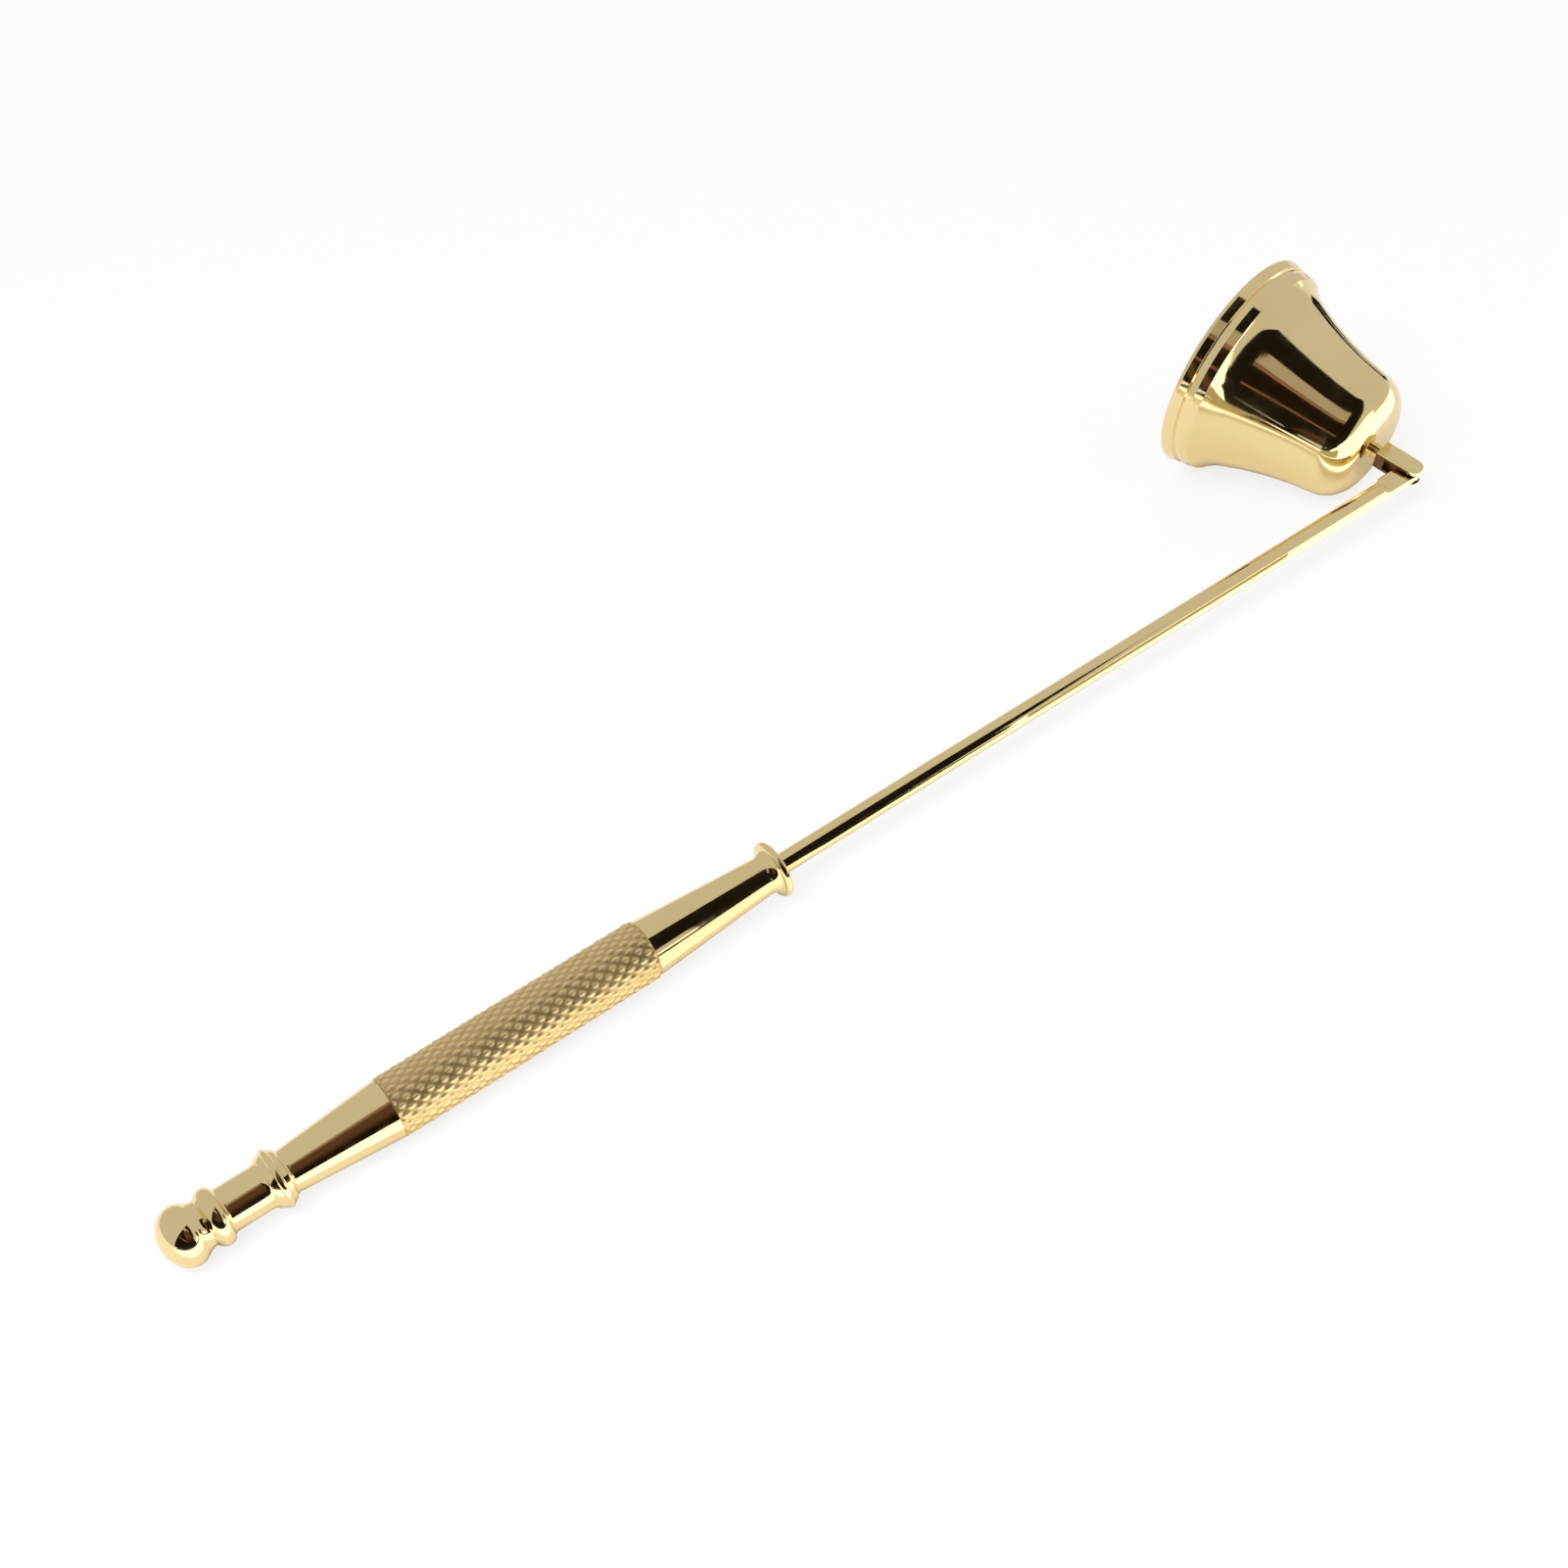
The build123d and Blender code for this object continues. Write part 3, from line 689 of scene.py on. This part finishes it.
class SNUFFER_OT_grip(bpy.types.Operator):
    """Turns the handle with its rings and tapers, and rolls the diamond knurl on it"""

    bl_idname = "snuffer.grip"
    bl_label = "Turn Handle"

    def execute(self, context):
        scene = context.scene
        sizes, knurl = scene.snuffer_handle, scene.snuffer_knurl
        bed_radius = sizes.grip_diameter / 2 - knurl.depth - knurl.bed
        piece = turn("handle_turned", self.body_outline(sizes, bed_radius), sizes.steps)
        select(self.rolled_knurl(sizes, knurl, bed_radius), piece)
        bpy.ops.object.join()
        fit(piece, scene, "handle", "grip", "handle_gold", "handle_plating", "knurl_plating_and_valley_shade")
        paint(piece, seat(scene, "handle"), lambda middle, normal: (
            sizes.grip_start < middle.z < sizes.grip_end and middle.xy.length > bed_radius))
        return {"FINISHED"}

    def body_outline(self, sizes, bed_radius):
        """Rings, stem and tapers outside, a bed for the knurl, and the bore inside."""
        ring_half = sizes.small_ring_width / 2
        flank = sizes.small_ring_flank / 2
        stem = sizes.stem_diameter / 2
        large_flank = sizes.large_flank_diameter / 2
        _, small_ring = at(sizes.small_ring)
        crest, large_ring = at(sizes.large_ring)
        crest_edge = crest - sizes.crest_drop
        crest_half = sizes.crest_width / 2
        bore = sizes.bore / 2
        outline = Outline(*at(sizes.neck)).line(flank, small_ring - ring_half)
        outline.arc_through(at(sizes.small_ring), (flank, small_ring + ring_half))
        outline.arc_into(stem, sizes.stem_start, (0, 1)).line(stem, sizes.stem_end)
        outline.arc(large_flank, sizes.large_flank_rear)
        outline.line(crest_edge, large_ring - crest_half)
        outline.arc_through((crest, large_ring), (crest_edge, large_ring + crest_half))
        outline.line(large_flank, sizes.large_flank_front)
        outline.arc_into(*at(sizes.rear_taper), (0, 1))
        outline.line(sizes.rear_taper_top / 2, sizes.grip_start)
        outline.line(bed_radius, sizes.grip_start).line(bed_radius, sizes.grip_end)
        outline.line(sizes.front_taper_top / 2, sizes.grip_end)
        outline.line(*at(sizes.front_taper))
        outline.line(bore, at(sizes.front_taper)[1]).line(bore, at(sizes.neck)[1])
        return outline.line(*at(sizes.neck))

    def rolled_knurl(self, sizes, knurl, bed_radius):
        """A band of raised diamonds, closed inside against the bed."""
        valley = sizes.grip_diameter / 2 - knurl.depth
        row = (sizes.grip_end - sizes.grip_start) / knurl.rows
        deselect()
        bpy.ops.mesh.primitive_circle_add(
            vertices=knurl.around, radius=valley, fill_type="NOTHING", location=(0, 0, 0))
        band = named("knurl_band")
        edit("EDGE")
        bpy.ops.transform.translate(value=(0, 0, sizes.grip_start))
        for _ in range(knurl.rows):
            bpy.ops.mesh.extrude_region_move(TRANSFORM_OT_translate={"value": (0, 0, row)})
        # every square is split to its middle, and its own sides are dissolved, so diamonds are left
        bpy.ops.mesh.select_all(action="SELECT")
        bpy.ops.mesh.normals_make_consistent(inside=False)
        bpy.ops.mesh.poke()
        leave()
        inner = valley * math.cos(math.pi / knurl.around)
        pick(band, lambda place: place.xy.length < (inner + valley) / 2)
        out = valley / inner
        bpy.ops.transform.resize(value=(out, out, 1))
        leave()
        pick(band, lambda a, b: abs(abs(a.z - b.z) - row / 2) > row / 4, "EDGE")
        bpy.ops.mesh.dissolve_edges(use_verts=False)
        # each diamond is raised with sloping sides, and all are smoothed to soft bumps
        edit("FACE")
        bpy.ops.mesh.inset(use_individual=True, thickness=knurl.flank, depth=knurl.depth)
        leave()
        soften = band.modifiers.new("Soften", "SUBSURF")
        soften.levels = soften.render_levels = knurl.softness
        bpy.ops.object.modifier_apply(modifier=soften.name)
        grow = sizes.grip_diameter / 2 / max(vertex.co.xy.length for vertex in band.data.vertices)
        edit("VERT")
        bpy.ops.transform.resize(value=(grow, grow, 1))
        # the two ends are drawn in to the bed and joined inside
        edit("EDGE", "DESELECT")
        bpy.ops.mesh.select_non_manifold()
        bpy.ops.mesh.extrude_region_move()
        draw_in = bed_radius / valley
        bpy.ops.transform.resize(value=(draw_in, draw_in, 1))
        bpy.ops.mesh.bridge_edge_loops()
        clean()
        leave()
        return band


class SNUFFER_OT_collar(bpy.types.Operator):
    """Turns the collar with its cove, its bead and its spigot"""

    bl_idname = "snuffer.collar"
    bl_label = "Turn Collar"

    def execute(self, context):
        scene = context.scene
        sizes, hole = scene.snuffer_handle, scene.snuffer_rod.diameter / 2
        radius, crest = at(sizes.collar_crest)
        bead, bore = sizes.collar_bead, sizes.bore / 2
        _, root = at(sizes.front_taper)
        front, tail = crest + bead, root - sizes.collar_spigot
        outline = Outline(*at(sizes.front_taper)).arc(radius - bead, crest - bead)
        outline.arc_through((radius, crest), (radius - bead, front))
        outline.line(hole, front).line(hole, tail).line(bore, tail).line(bore, root)
        outline.line(*at(sizes.front_taper))
        piece = turn("collar_turned", outline, sizes.steps)
        fit(piece, scene, "handle", "collar", "handle_gold", "handle_plating")
        return {"FINISHED"}


class SNUFFER_OT_rod(bpy.types.Operator):
    """Draws the round rod and flattens its end to a tongue with an eye"""

    bl_idname = "snuffer.rod"
    bl_label = "Draw Rod"

    def execute(self, context):
        scene = context.scene
        sizes, hinge, reach = scene.snuffer_rod, scene.snuffer_hinge, scene.snuffer_handle.reach
        radius, half = sizes.diameter / 2, sizes.tongue_thickness / 2
        flat = reach - sizes.tongue_length
        lead = flat - sizes.tongue_lead
        outline = Outline(0, sizes.tail).line(radius, sizes.tail).line(radius, lead)
        outline.line(half - sizes.tongue_edge, flat).line(0, flat)
        piece = turn("rod_drawn", outline, sizes.steps)
        combine(piece, self.tongue(sizes, reach, half, flat), "UNION")
        eye = rod_shape("eye", hinge.pin_diameter + 2 * hinge.pin_clearance, -radius, radius, sizes.steps)
        lay_across(eye, reach)
        combine(piece, eye, "DIFFERENCE")
        fit(piece, scene, "handle", "rod", "rod_gold", "rod_plating")
        return {"FINISHED"}

    def tongue(self, sizes, reach, half, flat):
        """The flat tongue, narrower at its root and round at its end; the bell lies towards -Y here."""
        side, offset = sizes.tongue_width / 2, -sizes.tongue_offset
        end = reach + side
        tongue = block_shape("tongue", (-half, offset - side, flat), (half, offset + side, end))
        pick(tongue, lambda face: face.normal.z < -FACING, "FACE")
        step = (0, -offset, -sizes.tongue_lead)
        bpy.ops.mesh.extrude_region_move(TRANSFORM_OT_translate={"value": step})
        bpy.ops.transform.resize(value=(1, sizes.tongue_root / sizes.tongue_width, 1))
        corner = end - MERGE_DISTANCE
        pick(tongue, lambda a, b: min(a.z, b.z) > corner and abs(a.y - b.y) < MERGE_DISTANCE, "EDGE")
        bpy.ops.mesh.bevel(offset=side, segments=sizes.steps // 4, clamp_overlap=True)
        clean()
        face = half - MERGE_DISTANCE
        pick(tongue, lambda a, b: abs(a.x) > face and abs(a.x - b.x) < MERGE_DISTANCE, "EDGE")
        bpy.ops.mesh.bevel(offset=sizes.tongue_edge, segments=sizes.edge_steps)
        leave()
        return tongue


class SNUFFER_OT_bell(bpy.types.Operator):
    """Spins the bell with its lip bands, flare, shoulder and crown"""

    bl_idname = "snuffer.bell"
    bl_label = "Spin Bell"

    def execute(self, context):
        scene = context.scene
        sizes, hinge = scene.snuffer_bell, scene.snuffer_hinge
        hole = hinge.stud_hole / 2
        land = sizes.mouth_bore / 2
        body_end = Vector(at(sizes.flare_end))
        outline = self.wall(sizes, hole, 0, body_end)
        inward = rotated(outline.heading, -math.pi / 2)
        inside = self.wall(sizes, hole, sizes.wall, body_end + inward * sizes.wall)
        inside.arc(land, sizes.mouth_land).line(land, 0)
        self.bands(sizes, outline)
        outline.points += reversed(inside.points)
        outline.points.append(outline.points[0])
        piece = turn("bell_spun", outline, sizes.steps)
        fit(piece, scene, "bell", "bell", "bell_gold", "bell_plating", "bell_inside")
        paint(piece, seat(scene, "bell"), lambda middle, normal: (
            normal.xy.dot(middle.xy.normalized()) < -INSIDE_LEAN
            or normal.z < -INSIDE_LEAN and middle.z > body_end.y))
        return {"FINISHED"}

    def wall(self, sizes, hole, inset, body_end):
        """One side of the shell from the crown's hole to the end of the body, set in by a distance."""
        centre = Vector(at(sizes.shoulder))
        radius = sizes.shoulder_radius - inset
        outline = Outline(hole, centre.y + radius).line(centre.x, centre.y + radius)
        outline.arc(*self.leaning(centre, radius, sizes.shoulder_join))
        return outline.arc(*body_end)

    def bands(self, sizes, outline):
        """The flare, the second band, the groove and the lip band, down to the mouth."""
        edge, groove = Vector(at(sizes.band_edge)), Vector(at(sizes.groove))
        lip = Vector((sizes.mouth_diameter / 2 - sizes.lip_round, sizes.lip_round))
        fall = math.tan(sizes.band_slope)
        band_front = self.leaning(edge, sizes.band_round, sizes.band_slope)
        lip_front = self.leaning(lip, sizes.lip_round, sizes.band_slope)
        crest = Vector((band_front.x + (band_front.y - sizes.band_start) * fall, sizes.band_start))
        lip_end = Vector((lip_front.x - (sizes.lip_end - lip_front.y) * fall, sizes.lip_end))
        outline.arc(*self.leaning(edge, sizes.band_round, sizes.flare_slope)).arc(*band_front)
        for corner, after in ((crest, groove), (groove, lip_end), (lip_end, lip_front)):
            outline.bend(corner, after, sizes.corner_round)
        outline.line(*lip_front).arc(lip.x, 0)

    def leaning(self, centre, radius, lean):
        """The point of a round that faces that far from straight out towards the crown."""
        return centre + Vector((radius * math.cos(lean), radius * math.sin(lean)))


class SNUFFER_OT_fork(bpy.types.Operator):
    """Mills the fork with its slot, its pin hole and its threaded stud"""

    bl_idname = "snuffer.fork"
    bl_label = "Mill Fork"

    def execute(self, context):
        scene = context.scene
        hinge, reach = scene.snuffer_hinge, scene.snuffer_bell.mouth_reach
        crown_inside, foot = crown_stations(scene)
        half = hinge.fork_width / 2
        piece = block_shape("fork_milled", (-half, -half, foot), (half, half, reach + half))
        top = reach + half - MERGE_DISTANCE
        pick(piece, lambda a, b: min(a.z, b.z) > top and abs(a.y - b.y) < MERGE_DISTANCE, "EDGE")
        bpy.ops.mesh.bevel(offset=half, segments=hinge.fork_steps, clamp_overlap=True)
        clean()
        cheek = half - MERGE_DISTANCE
        pick(piece, lambda a, b: abs(a.x) > cheek and abs(a.x - b.x) < MERGE_DISTANCE, "EDGE")
        bpy.ops.mesh.bevel(offset=hinge.fork_edge, segments=hinge.edge_steps)
        leave()
        gap, floor = hinge.slot / 2, reach - hinge.slot_depth
        slot = block_shape("slot", (-gap, -2 * half, floor), (gap, 2 * half, reach + 2 * half))
        combine(piece, slot, "DIFFERENCE")
        hole = rod_shape("hole", hinge.pin_diameter, -2 * half, 2 * half, hinge.steps)
        lay_across(hole, reach)
        combine(piece, hole, "DIFFERENCE")
        combine(piece, self.stud(hinge, crown_inside, foot), "UNION")
        fit(piece, scene, "bell", "fork", "rod_gold", "fork_plating", "slot_shade_finish")
        # the slot's faces get the second finish, painted shade in dark browns for the shade in the narrow
        # gap
        paint(piece, seat(scene, "bell"), lambda middle, normal: (
            abs(middle.x) < gap + MERGE_DISTANCE and middle.z > floor - MERGE_DISTANCE))
        return {"FINISHED"}

    def stud(self, hinge, crown_inside, foot):
        """The stud with thread ridges where the nut sits."""
        radius = hinge.stud_diameter / 2
        core = radius - hinge.thread_depth
        nut_end = crown_inside - hinge.washer_thickness - hinge.nut_thickness
        station = nut_end - hinge.stud_spare
        outline = Outline(0, station).line(core, station)
        while station + hinge.thread_pitch < crown_inside - hinge.washer_thickness:
            outline.line(radius, station + hinge.thread_pitch / 2)
            station += hinge.thread_pitch
            outline.line(core, station)
        outline.line(radius, station + hinge.thread_depth).line(radius, foot + hinge.fork_edge)
        outline.line(0, foot + hinge.fork_edge)
        return turn("stud", outline, hinge.steps)


class SNUFFER_OT_fastening(bpy.types.Operator):
    """Makes the washer and the hexagon nut inside the crown"""

    bl_idname = "snuffer.fastening"
    bl_label = "Make Washer and Nut"

    def execute(self, context):
        scene = context.scene
        hinge = scene.snuffer_hinge
        crown_inside, _ = crown_stations(scene)
        under = crown_inside - hinge.washer_thickness
        hole, rim, edge = hinge.stud_hole / 2, hinge.washer_diameter / 2, hinge.washer_edge
        outline = Outline(hole, crown_inside).line(rim - edge, crown_inside)
        outline.arc(rim, crown_inside - edge, heading=(1, 0)).line(rim, under + edge)
        outline.arc(rim - edge, under).line(hole, under).line(hole, crown_inside)
        washer = turn("washer_stamped", outline, hinge.washer_steps)
        fit(washer, scene, "bell", "crown_washer", "fastener_gold", "fastener_plating")
        deselect()
        bpy.ops.mesh.primitive_cylinder_add(
            vertices=6, radius=hinge.nut_flats / math.sqrt(3), depth=hinge.nut_thickness,
            location=(0, 0, under - hinge.nut_thickness / 2), rotation=(0, 0, math.pi / 6))
        nut = named("nut_hexagon")
        bpy.ops.object.transform_apply()
        pick(nut, lambda a, b: abs(a.z - b.z) < MERGE_DISTANCE, "EDGE")
        bpy.ops.mesh.bevel(offset=hinge.nut_edge, segments=hinge.edge_steps)
        leave()
        below = under - 2 * hinge.nut_thickness
        thread = rod_shape("thread", hinge.stud_diameter, below, crown_inside, hinge.steps)
        combine(nut, thread, "DIFFERENCE")
        fit(nut, scene, "bell", "crown_nut", "fastener_gold", "fastener_plating")
        return {"FINISHED"}


class SNUFFER_OT_pin(bpy.types.Operator):
    """Turns the hinge pin, flush with the fork's cheeks"""

    bl_idname = "snuffer.pin"
    bl_label = "Turn Hinge Pin"

    def execute(self, context):
        scene = context.scene
        hinge = scene.snuffer_hinge
        radius, half, edge = hinge.pin_diameter / 2, hinge.fork_width / 2, hinge.pin_edge
        outline = Outline(0, -half).line(radius - edge, -half).line(radius, edge - half)
        outline.line(radius, half - edge).line(radius - edge, half).line(0, half)
        pin = turn("pin_flush", outline, hinge.steps)
        lay_across(pin, scene.snuffer_bell.mouth_reach)
        fit(pin, scene, "bell", "hinge_pin", "rod_gold", "rod_plating")
        return {"FINISHED"}


class SNUFFER_OT_finishes(bpy.types.Operator):
    """Makes the gold finishes of the pieces"""

    bl_idname = "snuffer.finishes"
    bl_label = "Make Finishes"

    def execute(self, context):
        scene = context.scene
        finish, knurl = scene.snuffer_finish, scene.snuffer_knurl
        handle, bell = seat(scene, "handle"), seat(scene, "bell")
        peak = scene.snuffer_handle.grip_diameter / 2
        # painted shade: the radii over which the knurl's valleys darken
        valley = peak - knurl.depth * knurl.valley_shade_full, peak - knurl.depth * knurl.valley_shade_start
        # painted shade: the dark browns of the fork's slot, used in place of the two golds below
        slot_shade = finish.slot_shade, finish.deep_slot_shade
        for name, place in (("handle_plating", handle), ("rod_plating", handle), ("bell_plating", bell)):
            plated_gold(finish, name, place, finish.polish, finish.smeared)
        for name in ("bell_inside", "fastener_plating"):
            plated_gold(finish, name, bell, finish.plain, finish.satin)
        plated_gold(finish, "fork_plating", bell, finish.polish, finish.plain)
        plated_gold(finish, "slot_shade_finish", bell, finish.plain, finish.satin, tones=slot_shade)
        rolled = finish.rolled, finish.rolled + finish.smeared
        plated_gold(finish, "knurl_plating_and_valley_shade", handle, *rolled, valley=valley)
        return {"FINISHED"}


class SNUFFER_OT_stage(bpy.types.Operator):
    """Sets up the pale floor, the light tent and the camera"""

    bl_idname = "snuffer.stage"
    bl_label = "Set Stage"

    def execute(self, context):
        scene = context.scene
        settings = scene.snuffer_stage
        scene.view_settings.view_transform = "Standard"
        level = Matrix.Rotation(settings.camera_heading - math.pi / 2, 4, "Z")
        tilt = Matrix.Rotation(math.pi / 2 - settings.camera_drop, 4, "X")
        roll = Matrix.Rotation(settings.camera_roll, 4, "Z")
        square = Matrix.Translation(settings.camera_place) @ level @ tilt
        self.floor(settings)
        self.tent(scene, settings)
        self.lamp(settings)
        self.opening(settings, square)
        self.flags(settings)
        deselect()
        bpy.ops.object.camera_add()
        camera = context.object
        camera.name = "view_camera"
        camera.matrix_world = square @ roll
        camera.data.lens = settings.lens
        camera.data.clip_start = settings.near_limit
        scene.camera = camera
        return {"FINISHED"}

    def opening(self, settings, square):
        """The tent's dark opening round the camera, with a pale and a brown bar in it."""
        left, right, low, high = settings.opening
        cut = settings.corner_cut
        corners = (
            (left + cut, low), (right - settings.cut_width, low), (right, low + settings.cut_height),
            (right, high - cut), (right - cut, high), (left, low + cut))
        self.card("dark_opening", square, corners, settings.opening_dark)
        bars = square @ Matrix.Rotation(settings.bar_turn, 4, "Z")
        for name, light, layer in (
                ("pale_bar", settings.pale_light, 1), ("brown_bar", settings.dim_light, 1),
                ("low_edge", settings.edge_light, 2), ("high_edge", settings.edge_light, 2)):
            place = bars @ Matrix.Translation((0, 0, -layer * settings.bar_gap))
            self.card(name, place, box(getattr(settings, name)), light)

    def flags(self, settings):
        """Dark cards and white sheets round the snuffer that show only in the metal."""
        upright = Matrix.Rotation(math.pi / 2, 4, "X")
        before = Matrix.Translation((0, PIN_PLACE.y - settings.flag_reach, 0)) @ upright
        front = Matrix.Translation((0, settings.front_sheet[2], 0)) @ upright
        beside = Matrix.Translation((0, PIN_PLACE.y - settings.rod_reach, 0)) @ upright
        sideways = Matrix.Rotation(math.pi / 2, 4, "Z") @ upright
        side = Matrix.Translation((settings.side_reach, 0, 0)) @ sideways
        sheet = Matrix.Translation((0, 0, settings.sheet_lift))
        ground = Matrix.Translation((0, 0, 2 * settings.sheet_lift))
        dark = settings.opening_dark
        for name, place, light in (
                ("dark_flag", before, dark), ("dark_ground", ground, dark), ("low_card", side, dark),
                ("low_ground", ground, dark), ("rod_ground", ground, dark),
                ("rod_card", beside, settings.rod_light)):
            self.card(name, place, box(getattr(settings, name)), light)
        brown = self.card("brown_flag", before, box(settings.brown_flag), settings.brown_light)
        heights = settings.brown_start, settings.brown_end
        self.fade(brown, "Z", 0, (settings.brown_foot, 1), heights)
        strip = box(settings.front_strip, left=settings.strip_slant)
        self.card("front_strip", front, strip, settings.white, settings.front_light)
        slanted = box(settings.front_sheet, up=settings.sheet_slant)
        white = self.card("front_sheet", sheet, slanted, settings.white)
        lights = settings.middle_light, settings.front_light
        self.fade(white, "X", settings.middle, lights, (0, settings.middle_reach))

    def fade(self, card, axis, middle, lights, distances):
        """Lets the light of a card change with the distance from a place along it."""
        spot = card.add("TexCoord").outputs["Object"]
        along = card.add("SeparateXYZ", {"Vector": spot}).outputs[axis]
        apart = card.add("Math", {0: along, 1: middle}, operation="SUBTRACT").outputs[0]
        apart = card.add("Math", {0: apart}, operation="ABSOLUTE").outputs[0]
        card.put(card.shader.inputs["Strength"], card.between(apart, *lights, distances))

    def floor(self, settings):
        """A pale floor that is white where no shadow falls on it."""
        deselect()
        bpy.ops.mesh.primitive_plane_add(size=settings.floor_width)
        floor = named("floor")
        wiring = Wiring(bpy.data.materials.new("pale_floor"))
        matt = wiring.add("BsdfDiffuse", {"Color": (*settings.floor_colour, 1)})
        glow = wiring.add("Emission", {"Color": (1, 1, 1, 1), "Strength": 1})
        seen = wiring.add("LightPath").outputs["Is Camera Ray"]
        seen = wiring.add("Math", {0: seen, 1: settings.floor_glow}, operation="MULTIPLY")
        wiring.mix(seen.outputs[0], matt, glow)
        floor.data.materials.append(wiring.block)

    def tent(self, scene, settings):
        """Even light from all sides, with a white background behind the object."""
        scene.world = bpy.data.worlds.new("light_tent")
        wiring = Wiring(scene.world)
        walls = wiring.shader
        wiring.put(walls.inputs["Color"], (*settings.tent_light, 1))
        white = wiring.add("Background", {"Color": (1, 1, 1, 1)})
        wiring.mix(wiring.add("LightPath").outputs["Is Camera Ray"], walls, white)

    def lamp(self, settings):
        """A wide soft lamp, turned to the middle of the floor."""
        deselect()
        bpy.ops.object.light_add(type="AREA", location=settings.lamp_place)
        lamp = bpy.context.object
        lamp.name = "soft_lamp"
        lamp.rotation_euler = Vector(settings.lamp_place).to_track_quat("Z", "Y").to_euler()
        lamp.data.shape = "DISK"
        lamp.data.size = settings.lamp_width
        lamp.data.energy = settings.lamp_power
        lamp.visible_glossy = False

    def card(self, name, place, corners, light, strength=1):
        """A card of the tent that shows only in the metal."""
        card = trace(name, [Vector(corner) for corner in corners])
        bpy.ops.mesh.select_all(action="SELECT")
        bpy.ops.mesh.edge_face_add()
        leave()
        card.matrix_world = place @ Matrix.Rotation(-math.pi / 2, 4, "X")
        wiring = Wiring(bpy.data.materials.new(name))
        wiring.surface(wiring.add("Emission", {"Color": (*light, 1), "Strength": strength}))
        card.data.materials.append(wiring.block)
        for kind in ("camera", "diffuse", "transmission", "volume_scatter", "shadow"):
            setattr(card, "visible_" + kind, False)
        return wiring


OPERATORS = (
    SNUFFER_OT_finishes, SNUFFER_OT_knob, SNUFFER_OT_grip, SNUFFER_OT_collar, SNUFFER_OT_rod,
    SNUFFER_OT_bell, SNUFFER_OT_fork, SNUFFER_OT_fastening, SNUFFER_OT_pin, SNUFFER_OT_stage)


class SNUFFER_PT_sidebar(bpy.types.Panel):
    """Lists the steps that make the snuffer"""

    bl_idname = "SNUFFER_PT_sidebar"
    bl_label = "Candle Snuffer"
    bl_space_type = "VIEW_3D"
    bl_region_type = "UI"
    bl_category = "Snuffer"

    def draw(self, context):
        for operator in OPERATORS:
            self.layout.operator(operator.bl_idname)
        for name in GROUPS:
            section = self.layout.box()
            group = getattr(context.scene, name)
            for prop in group.__annotations__:
                section.prop(group, prop)


def register():
    for name, group in GROUPS.items():
        bpy.utils.register_class(group)
        setattr(bpy.types.Scene, name, PointerProperty(type=group))
    for item in OPERATORS + (SNUFFER_PT_sidebar,):
        bpy.utils.register_class(item)


def unregister():
    for item in (SNUFFER_PT_sidebar,) + OPERATORS[::-1]:
        bpy.utils.unregister_class(item)
    for name, group in GROUPS.items():
        delattr(bpy.types.Scene, name)
        bpy.utils.unregister_class(group)


def main():
    register()
    for operator in OPERATORS:
        family, step = operator.bl_idname.split(".")
        getattr(getattr(bpy.ops, family), step)()
    deselect()


if __name__ == "__main__":
    main()
